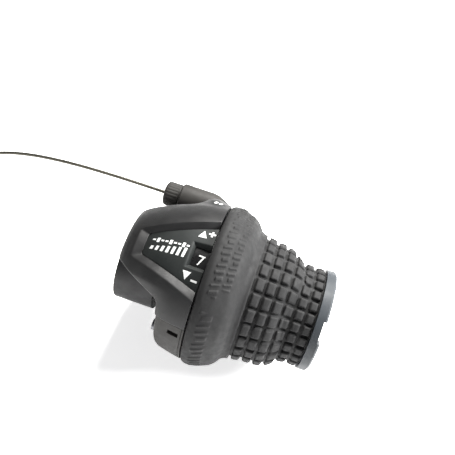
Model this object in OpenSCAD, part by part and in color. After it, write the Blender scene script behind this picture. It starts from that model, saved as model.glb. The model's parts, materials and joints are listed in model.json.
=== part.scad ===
// Right-hand twist-grip gear shifter for a 22.2 mm handlebar, with its gear inner wire.
// The origin is on the bar's axis at the middle of the clamp band. +X runs along the bar
// towards its end, +Y points forward, away from the rider, and +Z is up. Angles about the bar
// are measured from +Y towards +Z, so the rider looks at the shifter from about 130 degrees.

/* [Handlebar clamp] */
// Diameter of the handlebar that the clamp band grips
bar_d = 22.2; // [22.0:0.1:22.4]
// Width of the clamp band along the bar
band_w = 12.6; // [11:0.1:13]
// Wall of the clamp band
band_wall = 2.4; // [2:0.1:2.6]
// Angle of the clamp's split and ears
split_angle = -55; // [-70:1:-40]

/* [Casing] */
// Inboard face of the casing
case_x = 10.3; // [10.3:0.1:10.5]
// Outboard face of the casing, beside the turning grip
case_end_x = 20.0; // [19.9:0.1:20.1]
// Angle where the front cover meets the rear housing on the rider's side
cover_low_angle = 166; // [160:1:168]
// Angle where the front cover meets the rear housing on the far side
cover_high_angle = 45; // [43:1:50]
// Depth of the display recess under the cover's skin
recess_depth = 1.8; // [1.5:0.1:1.9]

/* [Grip] */
// Outboard end of the grip
grip_end_x = 58.2; // [57:0.1:60]
// Radius of the grip's bore, which turns on the bar
grip_bore_r = 11.35; // [11.2:0.05:11.4]
// Number of waffle blocks around the grip
waffle_rows = 26; // [20:1:30]
// Number of waffle blocks along the grip
waffle_columns = 6; // [5:1:7]

/* [Gearing] */
// Gear module of the planetary reduction
gear_module = 0.7; // [0.7:0.1:0.7]
// Teeth on the fixed sun gear
sun_teeth = 39; // [39:3:39]
// Teeth on each planet gear
planet_teeth = 9; // [9:1:9]
// Teeth cut inside the grip sleeve
ring_teeth = 57; // [57:3:57]
// Turn of the grip for one gear
click_angle = 19; // [18:0.5:20]
// Number of gears
gears = 7; // [6:1:7]

/* [Gear wire] */
// Diameter of the stranded inner wire
wire_d = 1.2; // [1.1:0.1:1.2]
// Radius at which the wire winds on the drum
wind_r = 14.7; // [14.6:0.05:14.8]
// Mean radius of the stored coil
coil_r = 10.8; // [10.6:0.1:11]

/* [Hidden] */
$fn = 96;
eps = 0.02;

// Clamp and hub
bar_r = bar_d / 2;
band_r = bar_r + band_wall;
neck_r = 13.3;
body_bore_r = 11.3;
backplate_t = 1.2;
backplate_r = 21.0;
hub_r = 12.4;
journal_r = 12.0;
sun_x = 16.6;
gear_w = 2.4;
hub_end_x = 21.4;
ear_r = 17.0;
ear_half = 4.1;
split_half = 0.9;
bolt_r = 2.5;

nose_x = -6.2;

// Casing: [x, r] outlines of its outside, blended between a low side and a full display side
low_side = [[nose_x, 14.3], [-6, 14.8], [-5, 15.3], [-3.5, 15.9], [-2, 16.6], [0.5, 17.8],
    [4, 19.4], [8, 21.7], [13.5, 24.5], [case_end_x, 25.6]];
full_side = [[nose_x, 14.6], [-6, 15.8], [-5, 17.1], [-3.5, 18.2], [-2, 19.1], [0.5, 20.4],
    [4, 22.1], [8, 23.6], [13.5, 25.0], [case_end_x, 25.8]];
lining_r = 22.2;
nose_in_x = -4.4;
housing_skin = [[case_x, backplate_r + 0.05], [case_x + 0.1, 21.9], [case_x + 0.8, 22.9],
    [12.6, 23.8], [19.2, 25.1], [19.25, 24.9], [19.45, 24.9], [19.5, 25.2], [19.8, 25.2],
    [case_end_x, 25.0]];
flange_x = case_x + backplate_t;
flange_end_x = 13.2;
flange_r = 17.9;
rib_x = 14.7;
screw_r = 19.0;
housing_screw_angles = [195, 250, 325];
cover_screw_angles = [98, 156];
plate_t = 0.5;
window_x = 14.6;
window_angles = [105.5, 124];

// Gear train
pressure_angle = 25;
backlash = 0.07;
sun_r = gear_module * sun_teeth / 2;
planet_r = gear_module * planet_teeth / 2;
ring_r = gear_module * ring_teeth / 2;
arm_r = sun_r + planet_r;
planet_angles = [90, 210, 330];
pin_r = 1.0;
drum_ratio = ring_teeth / (ring_teeth + sun_teeth);
drum_step = click_angle * drum_ratio;

// Drum
drum_x = 11.7;
groove_x = 12.8;
groove_half = 0.8;
groove_r = 13.9;
detent_r = 17.5;
carrier_x = 14.6;
carrier_end_x = 16.4;
carrier_r = 19.0;
detent_angle = 230;
detent_pin_x = 14.4;
leaf_arm = 18.5;
leaf_dip = 1.3;
leaf_t = 0.3;
leaf_span = 28;
leaf_x = 13.75;
leaf_w = 0.7;
head_angle = 120;
head_r = 1.45;
head_arm = 15.6;
head_l = 3.2;
head_x = 13.2;

// Wire path: out of the barrel along the bar, round the guide, then straight to the drum
wire_r = wire_d / 2;
outlet_angle = 30;
outlet_arm = 24.4;
outlet = [0, outlet_arm * cos(outlet_angle), outlet_arm * sin(outlet_angle)];
lead_angle = -7.05;
bend_r = 4.5;
bend_x = groove_x - bend_r;
bend_centre = outlet + [bend_x, -bend_r * cos(lead_angle), -bend_r * sin(lead_angle)];
lead_l = 14.98;
tangent_angle = 90 + lead_angle;
wrap_end_angle = 113.4;
guide_r = 1.0;

// Adjuster
barrel_tip_x = -3.4;
barrel_end_x = 1.2;
barrel_r = 4.2;
boss_x = 2.2;
boss_r = 4.9;
thread_r = 2.5;
adjuster_bore_r = 0.95;
spring_seat_x = 4.4;
spring_seat_r = 3.9;

// Grip sleeve
cup_x = 14.1;
cup_in_r = ring_r + gear_module;
cup_out_r = 21.3;
lip_r = 22.0;
number_r = 22.0;
grip_x = 20.4;
skin_gap = 0.03;
bell = [[grip_x, 24.3], [25, 24.0], [27.4, 23.2], [29.2, 22.4], [30.7, 20.9], [32.1, 19.2],
    [33.2, 18.5], [34.4, 17.9], [38.5, 17.9], [42.5, 17.3], [45.2, 16.0], [47.4, 14.4],
    [50, 14.0], [54.95, 14.0]];
collar = [[grip_x, 25.2], [20.7, 25.6], [22.3, 26.2], [25, 25.8], [27.4, 25.0], [29.2, 24.2],
    [30.7, 22.9], [32.1, 21.1], [33.2, 20.6], [33.8, 20.5], [34.1, 19.8]];
blocks = [[34.5, 20.3], [38, 19.7], [41, 19.5], [44, 18.8], [46.6, 17.3], [48, 16.1],
    [51.5, 15.8], [54.9, 16.0]];
waffle_x = 34.5;
waffle_end_x = 54.9;
end_ring_x = 55.0;
end_ring_r = 16.2;
notch_angle = 142;

// Gear wire outside the shifter, from the barrel's mouth to the coil
coil_centre = [-110, 0, -21.8];
bundle_r = 3.7;
tie_r = 4.4;
cable_route = [[-3.4, 21.1, 12.2], [-9, 21.1, 12.2], [-16, 21.1, 12.15], [-23, 21.1, 12.0],
    [-30, 21.0, 11.8], [-37, 20.9, 11.4], [-44, 20.7, 10.8], [-51, 20.4, 9.9], [-58, 19.9, 8.5],
    [-64, 19.2, 6.8], [-70, 18.4, 4.5], [-76, 17.5, 1.5], [-82, 16.6, -2.2], [-88, 15.7, -6.6],
    [-94, 14.8, -11.2], [-100, 13.9, -15.2], [-106.5, 13.0, -18.2]];

// ---------------------------------------------------------------- helpers

// Turns a shape drawn about Z so that it lies about the bar, with its own X along +Y
module about_bar() rotate([90, 0, 90]) children();

// A solid of revolution about the bar from [x, r] points, over the angles a0 to a1
module lathe(points, a0 = 0, a1 = 360) {
    about_bar() rotate([0, 0, a0]) rotate_extrude(angle = a1 - a0)
        polygon([for (p = points) [p[1], p[0]]]);
}

module tube(x0, x1, r_in, r_out) {
    lathe([[x0, r_in], [x1, r_in], [x1, r_out], [x0, r_out]]);
}

module rod(x0, x1, r) translate([x0, 0, 0]) about_bar() cylinder(h = x1 - x0, r = r);

// Places a shape at an angle about the bar: its own Y then points outwards from the bar
module at_angle(a, r = 0) rotate([a, 0, 0]) translate([0, r, 0]) children();

// Places a shape drawn about the bar on the adjuster's axis
module on_outlet() translate([0, outlet[1], outlet[2]]) children();

// Points of one outline, moved outwards by d
function grown(points, d) = [for (p = points) [p[0], p[1] + d]];
function reversed(points) = [for (i = [len(points) - 1:-1:0]) points[i]];
function blend(k) = [for (i = [0:len(low_side) - 1])
    [low_side[i][0], low_side[i][1] * (1 - k) + full_side[i][1] * k]];

// Involute gear outline: tooth 0 is centred on angle 0, and extra widens each flank in mm
function involute(a) = tan(a) * 180 / PI - a;
function half_tooth(z, r, extra) =
    let (pitch = gear_module * z / 2, base = pitch * cos(pressure_angle))
    90 / z + extra / pitch * 180 / PI
        + involute(pressure_angle) - involute(acos(min(1, base / r)));
function flank(z, r0, r1, extra, steps = 3) = [for (i = [0:steps])
    let (r = r0 + (r1 - r0) * i / steps) [r, half_tooth(z, r, extra)]];
function gear_outline(z, r0, r1, extra) = [for (i = [0:z - 1])
    let (up = flank(z, r0, r1, extra), a = i * 360 / z)
    each concat([for (p = up) [p[0] * cos(a - p[1]), p[0] * sin(a - p[1])]],
        [for (p = reversed(up)) [p[0] * cos(a + p[1]), p[0] * sin(a + p[1])]])];

// ---------------------------------------------------------------- clamp

module clamp_ear() {
    at_angle(split_angle) intersection() {
        union() {
            translate([-5.5, band_r - 1.5, -ear_half]) cube([11, ear_r - band_r + 1.5, 2 * ear_half]);
            translate([0, ear_r, -ear_half]) cylinder(h = 2 * ear_half, r = 5.5);
        }
        translate([-6, band_r - 2, -ear_half - 1]) cube([12, 12, 2 * ear_half + 2]);
    }
}

module bracket() {
    color([0.14, 0.14, 0.145]) difference() {
        union() {
            rod(-band_w / 2, band_w / 2, band_r);
            lathe([[band_w / 2 - 1, 8], [case_x + 0.5, 8], [case_x + 0.5, neck_r],
                [band_w / 2 - 1, neck_r]], -10, 150);
            lathe([[case_x, 0], [case_x, backplate_r], [flange_x, backplate_r], [flange_x, hub_r],
                [sun_x, hub_r], [sun_x, journal_r], [hub_end_x, journal_r], [hub_end_x, 0]]);
            clamp_ear();
        }
        rod(-band_w / 2 - 1, band_w / 2, bar_r);
        rod(band_w / 2, hub_end_x + 1, body_bore_r);
        at_angle(split_angle) translate([-7, 9, -split_half]) cube([14, 16, 2 * split_half]);
        at_angle(split_angle, ear_r) translate([0, 0, -9]) cylinder(h = 18, r = bolt_r + 0.1);
        screw_row(housing_screw_angles, 1.05, case_x - 1, flange_x + 1);
        screw_row(cover_screw_angles, 1.05, case_x - 1, flange_x + 1);
    }
}

module clamp_bolt() {
    color([0.55, 0.55, 0.57]) at_angle(split_angle, ear_r) difference() {
        union() {
            translate([0, 0, -ear_half - 1]) cylinder(h = 2 * ear_half + 5.4, r = bolt_r);
            translate([0, 0, -ear_half - 5.4]) cylinder(h = 4.5, r = 4.2);
        }
        translate([0, 0, -ear_half - 5.5]) cylinder(h = 2.8, r = 2.31, $fn = 6);
    }
}

module clamp_nut() {
    color([0.55, 0.55, 0.57]) at_angle(split_angle, ear_r) translate([0, 0, ear_half]) difference() {
        cylinder(h = 3.8, r = 4.4, $fn = 6);
        translate([0, 0, -1]) cylinder(h = 6, r = bolt_r);
    }
}

module clamp_washer() {
    color([0.6, 0.6, 0.62]) at_angle(split_angle, ear_r) translate([0, 0, -ear_half - 0.9]) difference() {
        cylinder(h = 0.9, r = 4.2);
        translate([0, 0, -1]) cylinder(h = 3, r = bolt_r + 0.05);
    }
}

// ---------------------------------------------------------------- casing

module screw_row(angles, r, x0, x1) {
    for (a = angles) at_angle(a, screw_r) rod(x0, x1, r);
}

// The adjuster's boss, which swells out of the housing and fades away along it
module outlet_boss() {
    cavity = [[flange_end_x + 0.05, 0], [flange_end_x + 0.05, 22.7], [19, 23.6],
        [case_end_x + 1, 23.7], [case_end_x + 1, 0]];
    difference() {
        on_outlet() {
            lathe_cone(boss_x, boss_x + 0.6, boss_r - 0.6, boss_r);
            rod(boss_x + 0.6, 12.5, boss_r);
            lathe_cone(12.5, 19.8, boss_r, 2.0);
        }
        lathe(cavity);
        rod(case_x - 0.07, flange_x + 0.07, backplate_r + 0.12);
    }
}

module rear_housing() {
    seam = 0.05 / 25 * 180 / PI;
    from = cover_low_angle + seam;
    to = 360 + cover_high_angle - seam;
    lining = [[case_end_x, 23.5], [19, 23.4], [flange_end_x, 22.5], [flange_end_x, flange_r],
        [flange_x, flange_r], [flange_x, backplate_r + 0.05]];
    color([0.2, 0.19, 0.18]) difference() {
        union() {
            lathe(concat(housing_skin, lining), from, to);
            outlet_boss();
            lathe([[rib_x, 21.55], [rib_x + 0.5, 21.55], [rib_x + 0.5, 23.4], [rib_x, 23.4]],
                190, 378);
        }
        on_outlet() {
            rod(boss_x - 1, spring_seat_x, spring_seat_r);
            rod(boss_x - 1, bend_x, thread_r + 0.05);
        }
        translate(bend_centre) rotate([lead_angle, 0, 0]) translate([-0.6, -6.5, -1.3])
            cube([flange_end_x + 0.65 - bend_x + 0.6, 12.3, 2.6]);
        screw_row(housing_screw_angles, 0.9, flange_x - 1, flange_end_x - 0.3);
        at_angle(174) translate([15.1, 20, -0.7]) cube([3.3, 8, 1.4]);
    }
}

module lathe_cone(x0, x1, r0, r1) {
    translate([x0, 0, 0]) about_bar() cylinder(h = x1 - x0, r1 = r0, r2 = r1);
}

module cover_piece(a0, a1, k) {
    skin = blend(k);
    core = [[case_end_x, lining_r], [13.5, lining_r], [flange_x, 21.4], [8, 20.2], [4, 18.2],
        [0.5, 16.2], [nose_in_x, 14.2], [nose_in_x, 13.7], [nose_x, 13.7]];
    lathe(concat(skin, core), a0, a1);
}

// Outline of the display recess, seen squarely from its middle angle
module recess_outline(inset) {
    polygon([[-0.6 + inset, -3.0 + inset], [-0.9 + inset, 4.9 - inset], [0.3, 6.0 - inset],
        [case_end_x + 1, 13.6 - inset], [case_end_x + 1, -11.9 + inset], [0.8, -4.3 + inset]]);
}

module recess_prism(inset) {
    at_angle(112) translate([0, 10, 0]) rotate([-90, 0, 0]) mirror([0, 1, 0])
        linear_extrude(20) recess_outline(inset);
}

module recess_shell(d0, d1, inset) {
    intersection() {
        lathe(concat(grown(full_side, -d0), reversed(grown(full_side, -d1))), 70, 150);
        recess_prism(inset);
    }
}

module front_cover() {
    low = cover_low_angle;
    high = cover_high_angle;
    color([0.07, 0.07, 0.075]) difference() {
        union() {
            cover_piece(high, 56, 0.3);
            cover_piece(56 - eps, 66, 0.65);
            cover_piece(66 - eps, 145, 1);
            cover_piece(145 - eps, 150, 0.75);
            cover_piece(150 - eps, 156, 0.45);
            cover_piece(156 - eps, low, 0.15);
            lathe([[flange_x, flange_r], [flange_end_x, flange_r], [flange_end_x, 22.6],
                [flange_x, 21.8]], 86, low);
        }
        intersection() {
            lathe(concat(grown(full_side, -recess_depth - plate_t), reversed(grown(full_side, 2))),
                70, 150);
            recess_prism(0);
        }
        lathe([[window_x, 20], [case_end_x + 1, 20], [case_end_x + 1, 28], [window_x, 28]],
            window_angles[0], window_angles[1]);
        rod(nose_x - 1, flange_x, 13.65);
        tube(case_x - 0.05, flange_x, 0, backplate_r + 0.05);
        at_angle(150) translate([0, 10, 0]) rotate([-90, 0, 0]) mirror([0, 1, 0]) linear_extrude(20)
            polygon([[-7, -4.57], [8.6, 1.2], [9.6, 2.0], [case_x, 3.4], [case_x, 12], [-7, 12]]);
        at_angle(50) translate([-7, 10, -12]) cube([9.4, 20, 15]);
        on_outlet() rod(-7, 12, boss_r + 0.4);
        screw_row(cover_screw_angles, 0.9, flange_x - 1, flange_end_x - 0.3);
    }
}

module display_plate() {
    color([0.12, 0.135, 0.135]) difference() {
        recess_shell(recess_depth + plate_t - eps, recess_depth, 0.1);
        lathe([[window_x, 20], [case_end_x + 1, 20], [case_end_x + 1, 28], [window_x, 28]],
            window_angles[0] - 0.2, window_angles[1] + 0.2);
        translate([case_end_x, -40, -40]) cube([5, 80, 80]);
    }
}

// Pan-head screws that hold a shell to the bracket's backplate
module flange_screws(angles) {
    for (a = angles) at_angle(a, screw_r) difference() {
        union() {
            rod(case_x - 1.2, case_x, 1.7);
            rod(case_x - 0.5, flange_end_x - 0.4, 0.9);
        }
        translate([case_x - 1.4, -0.25, -1.2]) cube([0.8, 0.5, 2.4]);
        translate([case_x - 1.4, -1.2, -0.25]) cube([0.8, 2.4, 0.5]);
    }
}

module cover_screws() color([0.5, 0.5, 0.52]) flange_screws(cover_screw_angles);

module housing_screws() color([0.5, 0.5, 0.52]) flange_screws(housing_screw_angles);

// ---------------------------------------------------------------- gear train

module sun_gear() {
    color([0.75, 0.72, 0.6]) difference() {
        translate([sun_x, 0, 0]) about_bar() rotate([0, 0, planet_angles[0]])
            linear_extrude(gear_w)
            polygon(gear_outline(sun_teeth, sun_r - gear_module, sun_r + 0.8 * gear_module, -backlash));
        rod(sun_x - 1, sun_x + gear_w + 1, journal_r);
    }
}

module planet_gear(i) {
    color([0.8, 0.78, 0.7]) at_angle(planet_angles[i], arm_r) difference() {
        translate([sun_x, 0, 0]) about_bar() linear_extrude(gear_w)
            polygon(gear_outline(planet_teeth, planet_r - gear_module, planet_r + 0.8 * gear_module,
                -backlash));
        rod(sun_x - 1, sun_x + gear_w + 1, pin_r + 0.05);
    }
}

module planet_gear_1() planet_gear(0);

module planet_gear_2() planet_gear(1);

module planet_gear_3() planet_gear(2);

module planet_pins() {
    color([0.6, 0.6, 0.62]) for (a = planet_angles) at_angle(a, arm_r)
        rod(carrier_x + 0.3, sun_x + gear_w, pin_r);
}

module cable_drum() {
    color([0.85, 0.84, 0.8]) difference() {
        union() {
            lathe([[drum_x, hub_r + 0.05], [carrier_end_x, hub_r + 0.05], [carrier_end_x, carrier_r],
                [carrier_x, carrier_r], [carrier_x, detent_r], [groove_x + groove_half, detent_r],
                [groove_x + groove_half, groove_r], [groove_x - groove_half, groove_r],
                [groove_x - groove_half, 15.6], [drum_x, 15.6]]);
            lathe([[drum_x + 0.05, groove_r - 1], [carrier_x + 0.3, groove_r - 1],
                [carrier_x + 0.3, detent_r - 0.2], [drum_x + 0.05, detent_r - 0.2]],
                head_angle - 9, head_angle + 9);
        }
        lathe([[groove_x - wire_r - 0.1, groove_r + 0.05], [groove_x + wire_r + 0.1, groove_r + 0.05],
            [groove_x + wire_r + 0.1, 20], [groove_x - wire_r - 0.1, 20]],
            head_angle - 12, wrap_end_angle);
        at_angle(head_angle, head_arm) {
            translate([head_x, 0, -head_l / 2]) cylinder(h = head_l, r = head_r + 0.05);
            translate([head_x - head_r + 0.1, 0, -head_l / 2]) cube([2 * head_r - 0.2, 5, head_l]);
        }
        for (i = [0:gears - 1]) at_angle(detent_angle - i * drum_step, 18.5)
            rod(groove_x + groove_half - 0.5, carrier_x + 0.2, 1.6);
        for (a = planet_angles) at_angle(a, arm_r) rod(carrier_x + 0.3, carrier_end_x + 1, pin_r);
    }
}

// A leaf bent round two pins, whose nose drops into a notch of the drum
function leaf_r(a) = leaf_arm - (abs(a) < 8 ? leaf_dip * (1 + cos(a * 180 / 8)) / 2 : 0);
module detent_spring() {
    bend = [for (a = [-leaf_span:1:leaf_span]) a];
    outer = [for (a = bend) (leaf_r(a) + leaf_t / 2) * [cos(a), sin(a)]];
    inner = [for (a = bend) (leaf_r(a) - leaf_t / 2) * [cos(a), sin(a)]];
    color([0.7, 0.7, 0.72]) translate([leaf_x, 0, 0]) about_bar() rotate([0, 0, detent_angle])
        linear_extrude(leaf_w) polygon(concat(outer, reversed(inner)));
}

module detent_pins() {
    color([0.6, 0.6, 0.62]) for (side = [-1, 1])
        at_angle(detent_angle + side * (leaf_span - 6), leaf_arm + leaf_t / 2 + 0.72)
            rod(flange_end_x, detent_pin_x, 0.7);
}

// ---------------------------------------------------------------- wire inside

module cable_guide() {
    color([0.7, 0.62, 0.35]) translate(bend_centre) rotate([lead_angle, 0, 0])
        rotate_extrude(angle = 90) translate([bend_r, 0]) difference() {
            circle(r = guide_r);
            circle(r = wire_r + 0.15);
        }
}

module cable_lead() {
    out = [0, cos(lead_angle), sin(lead_angle)];
    bend = [for (a = [0:15:90]) bend_centre + bend_r * (cos(a) * out + sin(a) * [1, 0, 0])];
    route = concat([[barrel_tip_x, outlet[1], outlet[2]]], bend, [bend[6] - lead_l * out]);
    color([0.62, 0.6, 0.55]) swept_tube(route, wire_r, [1, 0, 0], 12);
}

module cable_wrap() {
    color([0.62, 0.6, 0.55]) about_bar() translate([0, 0, groove_x]) rotate([0, 0, tangent_angle])
        rotate_extrude(angle = wrap_end_angle - tangent_angle) translate([wind_r, 0]) circle(r = wire_r);
}

module cable_head() {
    color([0.6, 0.6, 0.6]) at_angle(head_angle, head_arm) translate([head_x, 0, -head_l / 2 + 0.02])
        cylinder(h = head_l - 0.04, r = head_r);
}

// ---------------------------------------------------------------- wire outside

// A round tube swept along the route's own points, one ring of sides to a point
function unit(v) = v / norm(v);
function heading(p, i) = unit(p[min(i + 1, len(p) - 1)] - p[max(i - 1, 0)]);
function side_axis(t) = unit(cross(t, [0, 0, 1]));
module swept_tube(p, r, first, sides = 8) {
    n = len(p);
    rings = [for (i = [0:n - 1])
        let (t = i == 0 ? first : heading(p, i), a = side_axis(t), b = cross(t, a))
        for (k = [0:sides - 1]) p[i] + r * (a * cos(k * 360 / sides) + b * sin(k * 360 / sides))];
    walls = [for (i = [0:n - 2], k = [0:sides - 1]) let (m = (k + 1) % sides)
        each [[i * sides + k, i * sides + m, (i + 1) * sides + m],
            [i * sides + k, (i + 1) * sides + m, (i + 1) * sides + k]]];
    caps = [[for (k = [sides - 1:-1:0]) k], [for (k = [0:sides - 1]) (n - 1) * sides + k]];
    polyhedron(rings, concat(walls, caps));
}

// Points between the route's points, on a smooth curve through them
function smooth(p, i, t) =
    let (a = p[max(i - 1, 0)], b = p[i], c = p[i + 1], d = p[min(i + 2, len(p) - 1)])
    0.5 * (2 * b + (c - a) * t + (2 * a - 5 * b + 4 * c - d) * t * t
        + (3 * b - a - 3 * c + d) * t * t * t);
function smoothed(p, steps) = concat(
    [for (i = [0:len(p) - 2], k = [0:steps - 1]) smooth(p, i, k / steps)], [p[len(p) - 1]]);

module gear_cable() color([0.62, 0.6, 0.55]) swept_tube(smoothed(cable_route, 3), wire_r, [-1, 0, 0]);

module gear_cable_coil() {
    color([0.62, 0.6, 0.55]) translate(coil_centre) rotate_extrude() translate([coil_r, 0])
        circle(r = bundle_r);
}

module cable_tie() {
    color([0.1, 0.1, 0.1]) translate(coil_centre + [-coil_r, 0, 0]) rotate([90, 0, 0]) difference() {
        cylinder(h = 3.4, r = tie_r, center = true);
        cylinder(h = 5, r = bundle_r + 0.35, center = true);
    }
}

// ---------------------------------------------------------------- grip

module grip_sleeve() {
    inner_bell = [[44, 13.2], [44, 14.8], [41.5, 15.7], [38, 16.3], [34, 16.4], [32.4, 17.4],
        [30, 20.2], [27, 21.6], [21, 22.0], [20.4, cup_in_r]];
    land_x = sun_x + gear_w + 0.1;
    land_r = ring_r - 0.75 * gear_module;
    land = [[land_x, cup_in_r], [land_x, land_r], [sun_x - 0.1, land_r], [sun_x - 0.1, cup_in_r]];
    color([0.26, 0.28, 0.31]) difference() {
        union() {
            lathe(concat([[cup_x, cup_in_r], [cup_x, lip_r], [rib_x - 0.1, lip_r],
                [rib_x - 0.1, cup_out_r], [grip_x, cup_out_r]], bell,
                [[end_ring_x, end_ring_r], [grip_end_x - 0.6, end_ring_r],
                [grip_end_x, end_ring_r - 0.6], [grip_end_x, grip_bore_r], [21.8, grip_bore_r],
                [21.8, journal_r + 0.05], [19.6, journal_r + 0.05], [19.6, 13.2]], inner_bell, land));
            intersection() {
                lathe(concat([[21, 13.1]], [[44.2, 13.1]], [for (p = inner_bell) [p[0], p[1] + 0.3]]));
                for (i = [0:5]) at_angle(i * 60) translate([21, 12.5, -0.7]) cube([24, 10, 1.4]);
            }
        }
        translate([sun_x - 0.8, 0, 0]) about_bar() rotate([0, 0, planet_angles[0]])
            linear_extrude(gear_w + 1.6)
            polygon(gear_outline(ring_teeth, land_r - 0.15, cup_in_r - 0.03, backlash));
        for (i = [0:2]) at_angle(notch_angle + i * 120) translate([grip_end_x - 1, 10.5, -3.4])
            cube([2, 7, 6.8]);
    }
}

module number_ring() color([0.05, 0.05, 0.05]) tube(15.5, 20.3, cup_out_r + 0.02, number_r);

module grip_rubber() {
    inner = reversed(grown(bell, skin_gap));
    pitch = (waffle_end_x - waffle_x) / waffle_columns;
    color([0.3, 0.3, 0.31]) difference() {
        lathe(concat(collar, [[waffle_x - 0.05, 18.8]], blocks, inner));
        difference() {
            union() {
                for (i = [0:waffle_rows - 1]) at_angle((i + 0.5) * 360 / waffle_rows)
                    translate([waffle_x, 13, -0.35]) cube([waffle_end_x - waffle_x + 1, 12, 0.7]);
                for (i = [1:waffle_columns - 1])
                    tube(waffle_x + i * pitch - 0.3, waffle_x + i * pitch + 0.3, 13, 25);
            }
            lathe(concat([[waffle_x - 1, 0]], [for (p = blocks) [p[0], p[1] - 0.9]],
                [[waffle_end_x + 2, 15.1], [waffle_end_x + 2, 0]]));
        }
    }
}

// ---------------------------------------------------------------- barrel adjuster

module adjuster_barrel() {
    color([0.1, 0.1, 0.105]) on_outlet() difference() {
        union() {
            lathe_cone(barrel_tip_x, barrel_tip_x + 0.8, barrel_r - 1.0, barrel_r);
            rod(barrel_tip_x + 0.8, barrel_end_x, barrel_r);
        }
        rod(barrel_tip_x - 1, barrel_end_x + 1, thread_r);
        for (i = [0:15]) rotate([i * 22.5, 0, 0]) translate([0, barrel_r + 0.25, 0])
            rod(barrel_tip_x + 1.2, barrel_end_x + 1, 0.55);
    }
}

module adjuster_bolt() {
    color([0.72, 0.72, 0.73]) on_outlet() difference() {
        union() {
            rod(barrel_tip_x + 0.2, 7.6, thread_r);
        }
        rod(barrel_tip_x - 1, 9, adjuster_bore_r);
    }
}

module adjuster_washer() {
    color([0.75, 0.75, 0.72]) on_outlet() tube(barrel_end_x + 0.05, barrel_end_x + 0.55,
        thread_r + 0.1, 3.7);
}

module adjuster_spring() {
    turns = 3;
    x0 = barrel_end_x + 0.6;
    x1 = spring_seat_x - 0.05;
    color([0.7, 0.7, 0.72]) on_outlet() for (i = [0:turns - 1])
        about_bar() translate([0, 0, x0 + 0.3 + i * (x1 - x0 - 0.6) / (turns - 1)]) rotate_extrude()
            translate([3.2, 0]) circle(r = 0.3);
}

bracket();
clamp_bolt();
clamp_nut();
clamp_washer();
rear_housing();
front_cover();
display_plate();
cover_screws();
housing_screws();
sun_gear();
cable_drum();
planet_pins();
planet_gear_1();
planet_gear_2();
planet_gear_3();
detent_spring();
detent_pins();
cable_guide();
cable_lead();
cable_wrap();
cable_head();
gear_cable();
gear_cable_coil();
cable_tie();
grip_sleeve();
number_ring();
grip_rubber();
adjuster_barrel();
adjuster_bolt();
adjuster_spring();
adjuster_washer();
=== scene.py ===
"""Looks of the twist-grip gear shifter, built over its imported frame.

Lengths in the shape code are millimetres about the handlebar's axis: x runs along the bar, r is
the distance from it, and angles are degrees about it, from +Y (forward) towards +Z (up).
"""

import json
import math

import bmesh
import bpy
import numpy as np
from mathutils import Matrix, Vector


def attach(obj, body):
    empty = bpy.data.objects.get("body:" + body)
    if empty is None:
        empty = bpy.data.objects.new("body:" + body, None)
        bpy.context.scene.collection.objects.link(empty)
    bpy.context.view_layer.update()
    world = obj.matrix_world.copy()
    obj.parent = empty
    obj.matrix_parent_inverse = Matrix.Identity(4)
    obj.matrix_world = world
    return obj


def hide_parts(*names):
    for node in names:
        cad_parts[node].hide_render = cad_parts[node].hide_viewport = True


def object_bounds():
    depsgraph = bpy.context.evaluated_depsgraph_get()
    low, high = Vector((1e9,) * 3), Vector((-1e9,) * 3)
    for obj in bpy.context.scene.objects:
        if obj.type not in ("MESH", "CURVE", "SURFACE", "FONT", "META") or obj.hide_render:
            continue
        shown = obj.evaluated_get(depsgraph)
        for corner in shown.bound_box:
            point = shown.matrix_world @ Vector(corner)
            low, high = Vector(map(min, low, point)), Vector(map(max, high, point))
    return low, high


MM = 0.001
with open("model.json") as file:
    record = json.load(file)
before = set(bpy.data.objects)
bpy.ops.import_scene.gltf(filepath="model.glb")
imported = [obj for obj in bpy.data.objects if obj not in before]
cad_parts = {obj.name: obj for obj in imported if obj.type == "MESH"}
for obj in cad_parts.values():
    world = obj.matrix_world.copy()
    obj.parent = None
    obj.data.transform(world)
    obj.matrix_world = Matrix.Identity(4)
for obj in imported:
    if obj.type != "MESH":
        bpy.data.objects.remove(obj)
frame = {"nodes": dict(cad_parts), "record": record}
cad_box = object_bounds()

FLOOR_Z = cad_box[0][2] - 0.0002


# ------------------------------------------------------------------ helpers


def link(obj):
    bpy.context.scene.collection.objects.link(obj)
    return obj


def smoothstep(t):
    t = np.clip(t, 0.0, 1.0)
    return t * t * (3 - 2 * t)


def relu(t, soft):
    """A ramp from zero whose corner is rounded over about soft."""
    return 0.5 * (t + np.sqrt(t * t + soft * soft))


def ramp(depth_in, width, soft=0.12):
    """0 outside, 1 once depth_in passes width, a straight slope between with rounded ends."""
    return (relu(depth_in, soft) - relu(depth_in - width, soft)) / width


def curve_through(points, x):
    """A smooth curve that keeps the rises and falls of its [x, r] points."""
    p = np.array(points, float)
    h = np.diff(p[:, 0])
    slope = np.diff(p[:, 1]) / h
    m = np.zeros(len(p))
    m[0], m[-1] = slope[0], slope[-1]
    same = slope[:-1] * slope[1:] > 0
    w0, w1 = 2 * h[1:] + h[:-1], h[1:] + 2 * h[:-1]
    inner = np.zeros(len(p) - 2)
    inner[same] = ((w0 + w1) / (w0 / np.where(slope[:-1] == 0, 1, slope[:-1])
                                + w1 / np.where(slope[1:] == 0, 1, slope[1:])))[same]
    m[1:-1] = inner
    i = np.clip(np.searchsorted(p[:, 0], x) - 1, 0, len(h) - 1)
    t = np.clip((x - p[i, 0]) / h[i], 0, 1)
    a = (1 + 2 * t) * (1 - t) ** 2 * p[i, 1] + t * (1 - t) ** 2 * h[i] * m[i]
    b = t * t * (3 - 2 * t) * p[i + 1, 1] + t * t * (t - 1) * h[i] * m[i + 1]
    return a + b


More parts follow.
